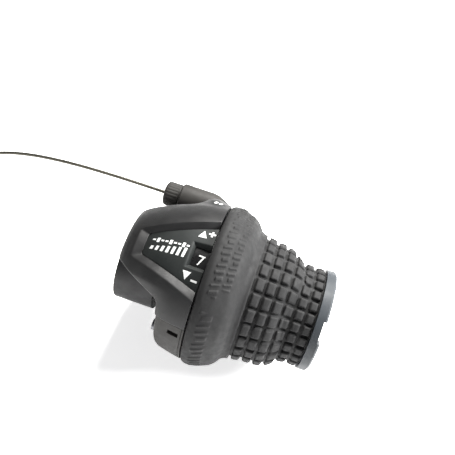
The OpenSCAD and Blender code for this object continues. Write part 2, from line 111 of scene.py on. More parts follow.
def polar(x, r, angle):
    """Points in metres from x, r in millimetres and an angle in degrees."""
    a = np.radians(angle)
    x, r, a = np.broadcast_arrays(x, r, a)
    return np.stack([x, r * np.cos(a), r * np.sin(a)], axis=-1) * MM


def mesh_object(name, verts, faces, material, smooth=True):
    mesh = bpy.data.meshes.new(name)
    mesh.from_pydata([tuple(v) for v in verts], [], [tuple(f) for f in faces])
    mesh.validate()
    if smooth:
        mesh.polygons.foreach_set("use_smooth", [True] * len(mesh.polygons))
    mesh.materials.append(material)
    mesh.update()
    return link(bpy.data.objects.new(name, mesh))


def grid_object(name, points, material, closed=False, keep=None):
    """A sheet over an array of points; closed joins its last column to its first."""
    rows, cols = points.shape[:2]
    index = np.arange(rows * cols).reshape(rows, cols)
    right = np.roll(index, -1, axis=1) if closed else index[:, 1:]
    left = index if closed else index[:, :-1]
    quads = np.stack([left[:-1], right[:-1], right[1:], left[1:]], axis=-1)
    if keep is not None:
        inside = keep if not closed else np.concatenate([keep, keep[:, :1]], axis=1)
        ok = inside[:-1, :-1] & inside[1:, :-1] & inside[:-1, 1:] & inside[1:, 1:]
        quads = quads[ok]
    quads = quads.reshape(-1, 4)
    used = np.unique(quads)
    renumber = np.full(rows * cols, -1)
    renumber[used] = np.arange(len(used))
    return mesh_object(name, points.reshape(-1, 3)[used], renumber[quads].tolist(), material)


def rounded(outline, radius, steps=5):
    """An [x, r] outline with its inner corners cut by short arcs."""
    p = [np.array(q, float) for q in outline]
    out = [p[0]]
    for a, b, c in zip(p[:-2], p[1:-1], p[2:]):
        u, v = (a - b), (c - b)
        cut = min(radius, 0.45 * np.linalg.norm(u), 0.45 * np.linalg.norm(v))
        start, end = b + u / np.linalg.norm(u) * cut, b + v / np.linalg.norm(v) * cut
        for k in range(steps + 1):
            t = k / steps
            out.append((1 - t) ** 2 * start + 2 * t * (1 - t) * b + t * t * end)
    out.append(p[-1])
    return out


def join(name, parts):
    """Several meshes made into one object, which takes the first one's materials."""
    verts, faces, base = [], [], 0
    for part in parts:
        verts += [tuple(v.co) for v in part.data.vertices]
        faces += [tuple(base + i for i in f.vertices) for f in part.data.polygons]
        base += len(part.data.vertices)
    material = parts[0].data.materials[0]
    for part in parts:
        bpy.data.objects.remove(part)
    return mesh_object(name, verts, faces, material)


# ------------------------------------------------------------------ materials


def new_material(name):
    material = bpy.data.materials.new(name)
    material.use_nodes = True
    tree = material.node_tree
    tree.nodes.clear()
    out = tree.nodes.new("ShaderNodeOutputMaterial")
    shader = tree.nodes.new("ShaderNodeBsdfPrincipled")
    tree.links.new(shader.outputs["BSDF"], out.inputs["Surface"])
    return material, tree, shader


def noise(tree, scale, detail=4.0, rough=0.55):
    """Noise in the frame's own metres, so a scale of 1000 has features about a millimetre across."""
    place = tree.nodes.new("ShaderNodeTexCoord")
    tex = tree.nodes.new("ShaderNodeTexNoise")
    tex.inputs["Scale"].default_value = scale
    tex.inputs["Detail"].default_value = detail
    tex.inputs["Roughness"].default_value = rough
    tree.links.new(place.outputs["Object"], tex.inputs["Vector"])
    return tex.outputs["Fac"]


def rgba(value):
    """A colour, or a single number as a grey, with full opacity."""
    return (*value, 1) if isinstance(value, tuple) else (value, value, value, 1)


def constant(tree, colour):
    node = tree.nodes.new("ShaderNodeRGB")
    node.outputs[0].default_value = rgba(colour)
    return node.outputs[0]


def between(tree, value, low, high, stops=(0.35, 0.65)):
    """A colour or grey between low and high as value runs between the stops."""
    node = tree.nodes.new("ShaderNodeValToRGB")
    node.color_ramp.elements[0].position = stops[0]
    node.color_ramp.elements[1].position = stops[1]
    node.color_ramp.elements[0].color = rgba(low)
    node.color_ramp.elements[1].color = rgba(high)
    tree.links.new(value, node.inputs["Fac"])
    return node.outputs["Color"]


def bump(tree, shader, height, distance, strength, under=None):
    node = tree.nodes.new("ShaderNodeBump")
    node.inputs["Distance"].default_value = distance
    node.inputs["Strength"].default_value = strength
    tree.links.new(height, node.inputs["Height"])
    if under is not None:
        tree.links.new(under, node.inputs["Normal"])
    tree.links.new(node.outputs["Normal"], shader.inputs["Normal"])
    return node.outputs["Normal"]


def mix_colour(tree, factor, a, b):
    node = tree.nodes.new("ShaderNodeMix")
    node.data_type = "RGBA"
    tree.links.new(factor, node.inputs["Factor"])
    tree.links.new(a, node.inputs["A"])
    tree.links.new(b, node.inputs["B"])
    return node.outputs["Result"]


def shade(colour, k):
    """The colour k times as bright, within what a surface can reflect."""
    return tuple(min(1.0, c * k) for c in colour)


def painted_edge_highlight(tree, low=0.52, high=0.6, amount=0.35):
    """Painted highlight: lighter where the surface turns sharply outwards, standing in for the light that
    sharp edges catch.
    """
    geometry = tree.nodes.new("ShaderNodeNewGeometry")
    return between(tree, geometry.outputs["Pointiness"], 0.0, amount, (low, high))


def moulded_plastic(name, colour, rough=0.42, texture=0.35, grain=9000, edge=1.6):
    """Moulded plastic: faint colour clouds, uneven gloss, a fine spark-eroded texture, and a painted
    highlight on its sharp edges.
    """
    material, tree, shader = new_material(name)
    clouds = noise(tree, 60, 5)
    base = between(tree, clouds, shade(colour, 0.82), shade(colour, 1.2))
    # painted highlight: sharp edges are lightened towards this colour, edge times the base
    light = constant(tree, shade(colour, edge))
    tree.links.new(mix_colour(tree, painted_edge_highlight(tree), base, light), shader.inputs["Base Color"])
    smear = noise(tree, 240, 6, 0.65)
    tree.links.new(between(tree, smear, rough - 0.07, rough + 0.09), shader.inputs["Roughness"])
    fine = noise(tree, grain, 2, 0.5)
    first = bump(tree, shader, fine, 0.00005, texture)
    bump(tree, shader, noise(tree, 900, 3), 0.0001, 0.08, first)
    shader.inputs["Specular IOR Level"].default_value = 0.32
    return material


def rubber(name, colour):
    """Soft moulded rubber: matt, slightly dusty, with a pebbled skin, and a painted highlight on its sharp
    edges.
    """
    rough = 0.72
    material, tree, shader = new_material(name)
    clouds = noise(tree, 90, 6, 0.6)
    base = between(tree, clouds, shade(colour, 0.85), shade(colour, 1.18))
    # one light colour, for the real dust specks and for the painted highlight on sharp edges
    dust_and_edge_highlight = constant(tree, shade(colour, 1.9))
    specks = between(tree, noise(tree, 2600, 5, 0.7), 0.0, 0.3, (0.55, 0.75))
    dusty = mix_colour(tree, specks, base, dust_and_edge_highlight)
    # sharp edges lightened towards that colour: a painted highlight
    tree.links.new(mix_colour(tree, painted_edge_highlight(tree, 0.53, 0.62, 0.3), dusty, dust_and_edge_highlight),
                   shader.inputs["Base Color"])
    tree.links.new(between(tree, noise(tree, 500, 4), rough - 0.08, rough + 0.1),
                   shader.inputs["Roughness"])
    first = bump(tree, shader, noise(tree, 5200, 3, 0.6), 0.00008, 0.45)
    bump(tree, shader, noise(tree, 1100, 4), 0.00015, 0.18, first)
    shader.inputs["Specular IOR Level"].default_value = 0.25
    return material


def steel(name, colour, rough=0.32):
    """Plated or drawn metal, unevenly scratched."""
    material, tree, shader = new_material(name)
    shader.inputs["Metallic"].default_value = 1.0
    scratches = noise(tree, 1800, 5, 0.6)
    tree.links.new(between(tree, scratches, shade(colour, 0.75), shade(colour, 1.15)),
                   shader.inputs["Base Color"])
    tree.links.new(between(tree, noise(tree, 400, 4), rough - 0.08, rough + 0.12),
                   shader.inputs["Roughness"])
    bump(tree, shader, scratches, 0.00003, 0.25)
    return material


def white_print(name):
    """Pad-printed ink: satin, a little uneven in tone and thickness."""
    material, tree, shader = new_material(name)
    tree.links.new(between(tree, noise(tree, 3000, 3), (0.72, 0.74, 0.73), (0.86, 0.87, 0.86)),
                   shader.inputs["Base Color"])
    tree.links.new(between(tree, noise(tree, 1500, 3), 0.38, 0.5), shader.inputs["Roughness"])
    bump(tree, shader, noise(tree, 6000, 2), 0.00002, 0.2)
    return material


def stranded_wire(name, colour):
    """Stranded wire: its outer strands lie at a slant, so the tone runs in fine slanting bands."""
    material, tree, shader = new_material(name)
    shader.inputs["Metallic"].default_value = 0.85
    uv = tree.nodes.new("ShaderNodeUVMap")
    uv.uv_map = "UVMap"
    wave = tree.nodes.new("ShaderNodeTexWave")
    wave.wave_type = "BANDS"
    wave.bands_direction = "DIAGONAL"
    wave.inputs["Scale"].default_value = 1.0
    wave.inputs["Distortion"].default_value = 0.0
    place = tree.nodes.new("ShaderNodeMapping")
    place.inputs["Scale"].default_value = (WIRE_LENGTH / STRAND_STEP, STRANDS_ROUND, 1.0)
    tree.links.new(uv.outputs["UV"], place.inputs["Vector"])
    tree.links.new(place.outputs["Vector"], wave.inputs["Vector"])
    tree.links.new(between(tree, wave.outputs["Fac"], shade(colour, 0.45), shade(colour, 1.1),
                           (0.1, 0.7)), shader.inputs["Base Color"])
    tree.links.new(between(tree, noise(tree, 800, 3), 0.32, 0.5), shader.inputs["Roughness"])
    bump(tree, shader, wave.outputs["Fac"], 0.00008, 0.5)
    return material


# ------------------------------------------------------------------ camera, light, floor

CAMERA_PLACE = Vector((0.0341, -0.1157, 0.1379))
# elevation, lift and roll are in degrees, and turn is a sideways slope towards -X
CAMERA_ELEVATION = 50.0
CAMERA_LIFT = 6.0
CAMERA_TURN = 0.075
CAMERA_ROLL = 18.5
CAMERA_LENS = 44.15


def make_camera():
    e = math.radians(CAMERA_ELEVATION)
    ahead = Vector((0, math.cos(e), -math.sin(e)))
    upright = Vector((0, math.sin(e), math.cos(e)))
    look = (ahead + math.tan(math.radians(CAMERA_LIFT)) * upright - CAMERA_TURN * Vector((1, 0, 0)))
    look.normalize()
    along = (Vector((1, 0, 0)) - look * look.x).normalized()
    square = along.cross(look)
    roll = math.radians(CAMERA_ROLL)
    right = math.cos(roll) * along + math.sin(roll) * square
    up = -math.sin(roll) * along + math.cos(roll) * square
    data = bpy.data.cameras.new("camera")
    data.lens = CAMERA_LENS
    data.clip_start = 0.005
    camera = link(bpy.data.objects.new("camera", data))
    turn = Matrix((right, up, -look)).transposed().to_4x4()
    camera.matrix_world = Matrix.Translation(CAMERA_PLACE) @ turn
    bpy.context.scene.camera = camera


LIGHT_TARGET = Vector((0.02, 0, 0))
# name, place, diameter, watts and colour
LIGHTS = [("key", (0.06, 0.22, 0.38), 0.22, 5.0, (1, 0.985, 0.96)),
          ("rider_side", (-0.05, -0.45, 0.18), 0.35, 0.15, (0.95, 0.97, 1)),
          ("bar_end", (0.36, 0.06, 0.24), 0.16, 5.0, (1, 1, 1))]
SKY_STRENGTH = 0.17
FLOOR_GLOW = 0.7
FLOOR_HALF = 3.0


def area_light(name, place, size, power, colour):
    data = bpy.data.lights.new(name, "AREA")
    data.shape = "DISK"
    data.size = size
    data.energy = power
    data.color = colour
    lamp = link(bpy.data.objects.new(name, data))
    lamp.location = place
    lamp.rotation_euler = (LIGHT_TARGET - Vector(place)).to_track_quat("-Z", "Y").to_euler()


def make_lights():
    world = bpy.data.worlds.new("studio")
    bpy.context.scene.world = world
    world.use_nodes = True
    tree = world.node_tree
    sky = tree.nodes["Background"]
    sky.inputs["Color"].default_value = (0.97, 0.98, 1.0, 1)
    sky.inputs["Strength"].default_value = SKY_STRENGTH
    # the backdrop is seen as white paper, while the light that it gives is weaker
    paper = tree.nodes.new("ShaderNodeBackground")
    paper.inputs["Color"].default_value = (0.97, 0.97, 0.97, 1)
    seen = tree.nodes.new("ShaderNodeLightPath")
    choose = tree.nodes.new("ShaderNodeMixShader")
    tree.links.new(seen.outputs["Is Camera Ray"], choose.inputs[0])
    tree.links.new(sky.outputs[0], choose.inputs[1])
    tree.links.new(paper.outputs[0], choose.inputs[2])
    tree.links.new(choose.outputs[0], tree.nodes["World Output"].inputs["Surface"])
    for light in LIGHTS:
        area_light(*light)
    scene = bpy.context.scene
    scene.view_settings.view_transform = "Standard"
    scene.view_settings.look = "None"


def make_floor():
    material, tree, shader = new_material("white_sheet")
    tree.links.new(between(tree, noise(tree, 8, 3), (0.93, 0.93, 0.93), (0.97, 0.97, 0.97)),
                   shader.inputs["Base Color"])
    shader.inputs["Roughness"].default_value = 0.9
    shader.inputs["Emission Color"].default_value = (1, 1, 1, 1)
    shader.inputs["Emission Strength"].default_value = FLOOR_GLOW
    corners = [(-1, -1), (1, -1), (1, 1), (-1, 1)]
    floor = mesh_object("floor", [(u * FLOOR_HALF, v * FLOOR_HALF, FLOOR_Z) for u, v in corners],
                        [(0, 1, 2, 3)], material, smooth=False)


make_camera()
make_lights()
make_floor()


# ------------------------------------------------------------------ the gear wire

WIRE_D = 1.2
WIRE_LENGTH = 2.05
STRAND_STEP = 0.0011
STRANDS_ROUND = 4.0
WIRE_ROUTE = [(-3.4, 21.1, 12.2), (-9, 21.1, 12.2), (-16, 21.1, 12.15), (-23, 21.1, 12.0),
              (-30, 21.0, 11.8), (-37, 20.9, 11.4), (-44, 20.7, 10.8), (-51, 20.4, 9.9),
              (-58, 19.9, 8.5), (-64, 19.2, 6.8), (-70, 18.4, 4.5), (-76, 17.5, 1.5),
              (-82, 16.6, -2.2), (-88, 15.7, -6.6), (-94, 14.8, -11.2), (-100, 13.9, -15.2),
              (-106.5, 13.0, -18.2)]
COIL_CENTRE = np.array((-110.0, 0.0, -21.8))
COIL_R = 10.8
# how many turns lie side by side in each layer of the bundle, from the top down
COIL_LAYERS = (3, 4, 5, 6, 5, 4, 3)
COIL_SIDES = 40
# each turn keeps its place up to this share of it, then crosses to the next one
COIL_KEEPS = 0.8


def smooth_route(points, steps=6):
    """A Catmull-Rom curve through the points, in steps pieces from one to the next."""
    p = np.array(points, float)
    out = []
    for i in range(len(p) - 1):
        a, b, c, d = p[max(i - 1, 0)], p[i], p[i + 1], p[min(i + 2, len(p) - 1)]
        for k in range(steps):
            t = k / steps
            out.append(0.5 * (2 * b + (c - a) * t + (2 * a - 5 * b + 4 * c - d) * t ** 2
                              + (3 * b - a - 3 * c + d) * t ** 3))
    return out + [p[-1]]


def coil_places():
    """Where each turn lies in the bundle's section, layer by layer down, a wire's diameter apart."""
    places = []
    for layer, count in enumerate(COIL_LAYERS):
        z = (len(COIL_LAYERS) // 2 - layer) * WIRE_D * math.sqrt(3) / 2
        line = [np.array(((count - 1) / 2 * WIRE_D - k * WIRE_D, z)) for k in range(count)]
        places += line if layer % 2 == 0 else line[::-1]
    return places


def wire_path():
    """The route to the coil, then turns of the coil until the wire's whole length is laid."""
    places = coil_places()
    top = COIL_CENTRE + np.array((0, COIL_R + places[0][0], places[0][1]))
    path = smooth_route(WIRE_ROUTE + [tuple(top)])
    laid = sum(np.linalg.norm(b - a) for a, b in zip(path[:-1], path[1:]))
    turns = 0.0
    while laid < WIRE_LENGTH / MM:
        turns += 1 / COIL_SIDES
        whole = min(int(turns), len(places) - 2)
        t = smoothstep((turns - whole - COIL_KEEPS) / (1 - COIL_KEEPS))
        spot = places[whole] * (1 - t) + places[whole + 1] * t
        r, a = COIL_R + spot[0], math.radians(90 + 360 * turns)
        point = COIL_CENTRE + np.array((r * math.cos(a), r * math.sin(a), spot[1]))
        laid += np.linalg.norm(point - path[-1])
        path.append(point)
    return np.array(path)


def make_wire():
    path = wire_path()
    data = bpy.data.curves.new("gear_wire", "CURVE")
    data.dimensions = "3D"
    data.bevel_depth = WIRE_D * MM / 2
    data.bevel_resolution = 4
    data.use_fill_caps = True
    spline = data.splines.new("POLY")
    spline.points.add(len(path) - 1)
    flat = np.concatenate([path * MM, np.ones((len(path), 1))], axis=1)
    spline.points.foreach_set("co", flat.ravel())
    spline.use_smooth = True
    wire = link(bpy.data.objects.new("gear_wire", data))
    data.materials.append(stranded_wire("stranded_wire", (0.15, 0.143, 0.118)))
    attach(wire, "shifter_body")
    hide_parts("gear_cable", "gear_cable_coil")


# ------------------------------------------------------------------ outlines shared with the frame

CASE_END = 20.0
NOSE_X = -6.2
# [x, r] outlines of the cover's skin, of its two flanks and of its crest
LOW_SIDE = [(NOSE_X, 14.3), (-6, 14.8), (-5, 15.3), (-3.5, 15.9), (-2, 16.6), (0.5, 17.8), (4, 19.4),
            (8, 21.7), (13.5, 24.5), (20, 25.6)]
FULL_SIDE = [(NOSE_X, 14.6), (-6, 15.8), (-5, 17.1), (-3.5, 18.2), (-2, 19.1), (0.5, 20.4), (4, 22.1),
             (8, 23.6), (13.5, 25.0), (20, 25.8)]
# [angle, share] of the crest in the cover's skin
COVER_BLEND = [(45, 0.3), (53, 0.4), (61, 0.66), (69, 1.0), (142, 1.0), (149, 0.72), (155, 0.42),
               (166, 0.14)]
# [x, r] outlines of the other skins
COVER_CORE = [(NOSE_X, 13.7), (-4.4, 13.8), (0.5, 16.2), (4, 18.2), (8, 20.2), (11.5, 21.4), (13.5, 22.2),
              (20, 22.2)]
HOUSING_SKIN = [(10.3, 21.05), (10.32, 21.5), (10.45, 21.95), (10.75, 22.5), (11.1, 22.9),
                (11.8, 23.4), (12.6, 23.8), (15, 24.35), (17, 24.75), (19.15, 25.1), (19.22, 24.85),
                (19.45, 24.85), (19.52, 25.2), (19.8, 25.2), (19.95, 25.1), (20, 24.9), (20, 23.5)]
COLLAR = [(20.4, 25.2), (20.7, 25.6), (22.3, 26.15), (25, 25.8), (27.4, 25.0), (29.2, 24.2),
          (30.7, 22.9), (32.1, 21.1), (33.2, 20.6), (33.8, 20.5), (34.3, 20.1)]
BLOCKS = [(30, 20.5), (34.5, 20.3), (38, 19.7), (41, 19.5), (44, 18.8), (46.6, 17.3), (48, 16.1),
          (51.5, 15.8), (58, 15.8)]
SLEEVE = [(34.4, 17.9), (38.5, 17.9), (42.5, 17.3), (45.2, 16.0), (47.4, 14.4), (50, 14.0),
          (54.95, 14.0)]
OUTLET_ANGLE, OUTLET_ARM = 30.0, 24.4
OUTLET = (OUTLET_ARM * math.cos(math.radians(OUTLET_ANGLE)),
          OUTLET_ARM * math.sin(math.radians(OUTLET_ANGLE)))
RECESS_MIDDLE = 112.0
RECESS_DEPTH = 1.8
WALL = 1.3
PLATE_LEFT = 0.55
NUMBER_R = 22.0


def table(points, x):
    p = np.array(points, float)
    return np.interp(x, p[:, 0], p[:, 1])


def swell(x, angle):
    """How far the cowl and the casing rise beside the outlet boss."""
    return 1.5 * np.exp(-((x - 14.6) / 3.6) ** 2) * smoothstep((66 - angle) / 17) \
        * smoothstep((angle - 32) / 8)


def cover_r(x, angle):
    low, full = curve_through(LOW_SIDE, x), curve_through(FULL_SIDE, x)
    return low + curve_through(COVER_BLEND, angle) * (full - low) + swell(x, angle)


def plate_r(x, angle=None):
    """The plate is as far in at every angle; it takes one because the marks' other surface does."""
    return curve_through(FULL_SIDE, x) - RECESS_DEPTH


# the recess's edges, as millimetres round the bar from RECESS_MIDDLE: a point on each, and its slope
TOP_START, TOP_SLOPE = (0.8, -4.3), -0.3762
LOW_START, LOW_SLOPE = (0.3, 6.0), 0.3671
LOW_WALL_EXTRA = 0.6
RECESS_LEFT = -2.2


def recess_top(x):
    return TOP_START[1] + TOP_SLOPE * (x - TOP_START[0])


def recess_low(x):
    return LOW_START[1] + LOW_SLOPE * (x - LOW_START[0])


def softmin(values, soft):
    """The least of the values, rounded off over about soft where two are close."""
    low = np.minimum.reduce(values)
    return low - soft * np.log(sum(np.exp((low - v) / soft) for v in values))


def recess_inset(x, s):
    """0 at the outer edge of the display recess's walls and 1 at their foot, with rounded corners."""
    top = (s - recess_top(x)) * math.cos(math.atan(TOP_SLOPE)) / WALL
    low = (recess_low(x) - s) * math.cos(math.atan(LOW_SLOPE))
    low = (low + LOW_WALL_EXTRA) / (WALL + LOW_WALL_EXTRA)
    left = (x - RECESS_LEFT) / (PLATE_LEFT - RECESS_LEFT)
    return softmin([top, low, left], 0.13)


def around(s, r):
    """The angle at which a point at radius r stands s to the side of the recess's middle."""
    return RECESS_MIDDLE + np.degrees(np.arcsin(np.clip(s / r, -1, 1)))


def piecewise(knots, counts):
    """Columns that split each stretch between neighbouring knots evenly."""
    parts = [knots[0][:, None]]
    for a, b, n in zip(knots[:-1], knots[1:], counts):
        t = np.arange(1, n + 1) / n
        parts.append(a[:, None] * (1 - t) + b[:, None] * t)
    return np.concatenate(parts, axis=1)


def steps(*stretches):
    """Rows over (start, end, spacing) stretches that follow on from one another."""
    out = []
    for start, end, gap in stretches:
        n = max(1, round((end - start) / gap))
        out += list(np.linspace(start, end, n, endpoint=False))
    return np.array(out + [stretches[-1][1]])


def edge_round(distance, radius):
    """How far a surface falls away within radius of its edge."""
    t = np.clip(1 - distance / radius, 0, 1)
    return radius * (1 - np.sqrt(1 - t * t))


# ------------------------------------------------------------------ casing


COVER_TOP, COVER_TOP_STEP = 45, 14.6
COVER_LOW_SPLIT, COVER_LOW = 150, 166
# where the window's opening is cut through the cover, below the plate
OPENING_X, OPENING = 14.0, (104.3, 125.2)


def make_cover(material):
    x = steps((NOSE_X, NOSE_X + 0.6, 0.06), (NOSE_X + 0.6, -2.6, 0.15), (-2.6, 1.2, 0.1), (1.2, 2.1, 0.15),
              (2.1, 3.0, 0.08), (3.0, 9.3, 0.25), (9.3, 10.6, 0.07), (10.6, 19.4, 0.25),
              (19.4, 20.0, 0.06))
    r0 = table(FULL_SIDE, x)
    mm = np.degrees(1 / r0)
    # the lower edge slants along the split with the casing, then drops to the casing's own edge
    cut = np.interp(x, [-7, 8.6, 9.6, 10.3], [-4.57, 1.2, 2.0, 3.4])
    low = COVER_LOW_SPLIT + np.degrees(np.arcsin(cut / r0))
    low = low + (COVER_LOW - low) * smoothstep((x - 9.75) / 0.6)
    high = COVER_TOP + COVER_TOP_STEP * (1 - smoothstep((x - 2.2) / 0.6))
    top, bottom = around(recess_top(x), r0), around(recess_low(x), r0)
    angle = piecewise([high, high + 0.7 * mm, top - 0.3 * mm, top + 1.9 * mm, bottom - 1.9 * mm,
                       bottom + 0.9 * mm, low - 0.7 * mm, low], [8, 26, 18, 44, 18, 12, 8])
    xx = np.broadcast_to(x[:, None], angle.shape)
    skin = cover_r(xx, angle)
    s = skin * np.sin(np.radians(angle - RECESS_MIDDLE))
    inset = recess_inset(xx, s)
    sunk = (RECESS_DEPTH - 0.03) * ramp(inset, 1.0, 0.07) + 0.5 * ramp(inset - 1, 0.08, 0.02)
    edge = np.minimum((angle - high[:, None]), (low[:, None] - angle)) / mm[:, None]
    nose = xx - NOSE_X
    end = CASE_END - xx
    outer = skin - sunk - edge_round(edge, 0.45) - edge_round(nose, 0.5) - edge_round(end, 0.3)
    inner = np.minimum(table(COVER_CORE, xx), outer - 0.6)
    middle = 0.5 * (outer + inner)
    for row in (0, -1):
        outer[row] = inner[row] = middle[row]
    angles = np.concatenate([angle, angle[:, ::-1]], axis=1)
    radii = np.concatenate([outer, inner[:, ::-1]], axis=1)
    points = polar(x[:, None], radii, angles)
    hole = (xx > OPENING_X) & (angle > OPENING[0]) & (angle < OPENING[1])
    hole = np.concatenate([hole, hole[:, ::-1]], axis=1)
    cover = grid_object("front_cover_shell", points, material, closed=True, keep=~hole)
    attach(cover, "shifter_body")
    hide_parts("front_cover")


WINDOW = (104.9, 124.6)
WINDOW_X = 14.4
WINDOW_WALL = 0.95
PLATE_CORNER = 1.3
PLATE_EDGE = 0.42


def make_plate(material):
    left = PLATE_LEFT + 0.06
    x = steps((left, left + 0.2, 0.04), (left + 0.2, 3.0, 0.2), (3.0, WINDOW_X, 0.4),
              (WINDOW_X, WINDOW_X + WINDOW_WALL + 0.2, 0.1), (WINDOW_X + WINDOW_WALL + 0.2, 19.9, 0.3),
              (19.9, 19.98, 0.04))
    r = plate_r(x)
    mm = np.degrees(1 / r)
    pull = edge_round(x - left, PLATE_CORNER)
    grow = WALL + 0.04
    # the recess's edges are set out on the cover's skin, so they are carried down to the plate
    top = around(recess_top(x), r + RECESS_DEPTH) + (grow / math.cos(math.atan(TOP_SLOPE)) + pull) * mm
    low = around(recess_low(x), r + RECESS_DEPTH) - (grow / math.cos(math.atan(LOW_SLOPE)) + pull) * mm
    t = smoothstep((x - 7) / 5)
    w0 = (top + 0.24 * (low - top)) * (1 - t) + WINDOW[0] * t
    w1 = (top + 0.76 * (low - top)) * (1 - t) + WINDOW[1] * t
    wall = WINDOW_WALL * mm
    angle = piecewise([top, top + 0.15 * mm, w0 - 0.2 * mm, w0 + wall, w1 - wall, w1 + 0.2 * mm,
                       low - 0.15 * mm, low], [4, 20, 10, 18, 10, 20, 4])
    xx = np.broadcast_to(x[:, None], angle.shape)
    into = np.minimum.reduce([xx - WINDOW_X, (angle - w0[:, None]) / mm[:, None],
                              (w1[:, None] - angle) / mm[:, None]])
    into = np.where(xx < WINDOW_X - 0.3, -1.0, into)
    edge = np.minimum.reduce([(angle - top[:, None]) / mm[:, None], (low[:, None] - angle) / mm[:, None],
                              xx - left])
    floor = NUMBER_R + 0.12
    skin = plate_r(xx)
    radii = skin - (skin - floor) * ramp(into, WINDOW_WALL, 0.08) - edge_round(edge, 0.12)
    radii = np.where(into > -0.3, np.maximum(radii, floor - 0.03), radii)
    hole = into > WINDOW_WALL + 0.02
    points = polar(x[:, None], radii, angle)
    # the plate's cut edge, one row and one column turned down all round
    down = polar(x[:, None], radii - PLATE_EDGE, angle)
    points = np.concatenate([down[:, :1], points, down[:, -1:]], axis=1)
    points = np.concatenate([down[:1][:, [0] + list(range(down.shape[1])) + [-1]], points], axis=0)
    hole = np.pad(hole, ((1, 0), (1, 1)))
    plate = grid_object("display_face", points, material, keep=~hole)
    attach(plate, "shifter_body")
    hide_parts("display_plate")


HOUSING_START, HOUSING_END = 166.14, 404.86
SHELL = 1.5
# the latch slot: x of its two ends, angle, the radius it is measured at, half its width, its depth
SLOT_X, SLOT_ANGLE, SLOT_R, SLOT_HALF, SLOT_DEPTH = (15.1, 18.4), 174, 24.6, 0.7, 1.7


def outlet_boss_r(x):
    return curve_through([(0, 4.9), (12, 4.9), (14, 4.65), (16, 3.95), (18, 2.95), (19.4, 2.1),
                          (20.1, 1.7)], x)


def make_housing(material):
    angle = np.concatenate([np.linspace(HOUSING_START, 170, 24, endpoint=False),
                            np.linspace(170, 178, 44, endpoint=False),
                            np.linspace(178, 362, 190, endpoint=False),
                            np.linspace(362, HOUSING_END, 120)])
    rows = []
    for a, b in zip(HOUSING_SKIN[:-1], HOUSING_SKIN[1:]):
        n = max(1, round(math.dist(a, b) / 0.16))
        rows += [(a[0] + (b[0] - a[0]) * k / n, a[1] + (b[1] - a[1]) * k / n) for k in range(n)]
    rows.append(HOUSING_SKIN[-1])
    x, r = np.array(rows).T
    xx, aa = np.meshgrid(x, angle, indexing="ij")
    base = r[:, None] + swell(xx, aa - 360) * smoothstep((xx - 10.35) / 0.8)
    edge = np.radians(np.minimum(aa - HOUSING_START, HOUSING_END - aa)) * base
    slot = np.minimum.reduce([xx - SLOT_X[0], SLOT_X[1] - xx,
                              SLOT_HALF - np.abs(np.radians(aa - SLOT_ANGLE) * SLOT_R)])
    # the boss swells out of the casing: the outermost point on each ray of the two blended shapes
    out = np.linspace(0, 9, 181)
    ray = base[..., None] + out
    swing = np.cos(np.radians(aa - 360 - OUTLET_ANGLE))[..., None]
    boss = np.sqrt(ray ** 2 + OUTLET_ARM ** 2 - 2 * OUTLET_ARM * ray * swing)
    boss = boss - outlet_boss_r(xx)[..., None]
    soft = 0.55
    field = -soft * np.log(np.exp(-out / soft) + np.exp(-np.clip(boss, -30, 30) / soft))
    within = field <= 0
    last = within.shape[-1] - 1 - np.argmax(within[..., ::-1], axis=-1)
    last = np.clip(last, 0, len(out) - 2)
    f0 = np.take_along_axis(field, last[..., None], -1)[..., 0]
    f1 = np.take_along_axis(field, last[..., None] + 1, -1)[..., 0]
    lift = out[last] + np.clip(f0 / (f0 - f1), 0, 1) * (out[1] - out[0])
    near = (aa > 362) & (xx < 19.6)
    radii = base + np.where(near, lift, 0)
    radii -= edge_round(edge, 0.35) + SLOT_DEPTH * ramp(slot, 0.14, 0.03)
    points = polar(xx, radii, aa)
    inner = polar(xx, np.minimum(base, radii) - SHELL, aa)
    points = np.concatenate([inner[:, :1], points, inner[:, -1:]], axis=1)
    shell = grid_object("rear_shell", points, material)
    tube = outlet_tube("outlet_nozzle", rounded([(11.2, 4.9), (2.2, 4.9), (2.2, 3.9), (4.4, 3.9),
                                                 (4.4, 2.6), (9, 2.6)], 0.5), material)
    shell = join("rear_casing", [shell, tube])
    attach(shell, "shifter_body")
    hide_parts("rear_housing")


def outlet_tube(name, outline, material, count=72, flutes=None):
    """A turned piece on the outlet's axis; flutes are (number, depth, first x, last x)."""
    p = np.array(outline, float)
    a = np.linspace(0, 2 * np.pi, count, endpoint=False)
    r = np.broadcast_to(p[:, 1][:, None], (len(p), count)).copy()
    if flutes is not None:
        number, deep, x0, x1 = flutes
        along = smoothstep((p[:, 0] - x0) / 0.4) * smoothstep((x1 - p[:, 0]) / 0.4)
        wave = np.abs(np.sin(number * a / 2)) ** 0.6
        r -= deep * along[:, None] * (1 - wave)[None, :]
    points = np.stack([np.broadcast_to(p[:, 0][:, None], r.shape), OUTLET[0] + r * np.cos(a),
                       OUTLET[1] + r * np.sin(a)], axis=-1) * MM
    return grid_object(name, points, material, closed=True)


def make_barrel(material):
    outline = rounded([(-3.0, 0.95), (-3.4, 1.0), (-3.4, 3.0), (-2.9, 4.0), (-2.0, 4.2), (1.4, 4.2),
                       (2.05, 4.1), (2.05, 3.85), (1.2, 3.8), (1.2, 2.4)], 0.5, 4)
    dense = []
    for a, b in zip(outline[:-1], outline[1:]):
        n = max(1, round(np.linalg.norm(b - a) / 0.2))
        dense += [a + (b - a) * k / n for k in range(n)]
    barrel = outlet_tube("barrel_grip", dense + [outline[-1]], material, 288, (24, 0.16, -2.6, 1.7))
    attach(barrel, "adjuster")
    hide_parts("adjuster_barrel")


# ------------------------------------------------------------------ grip

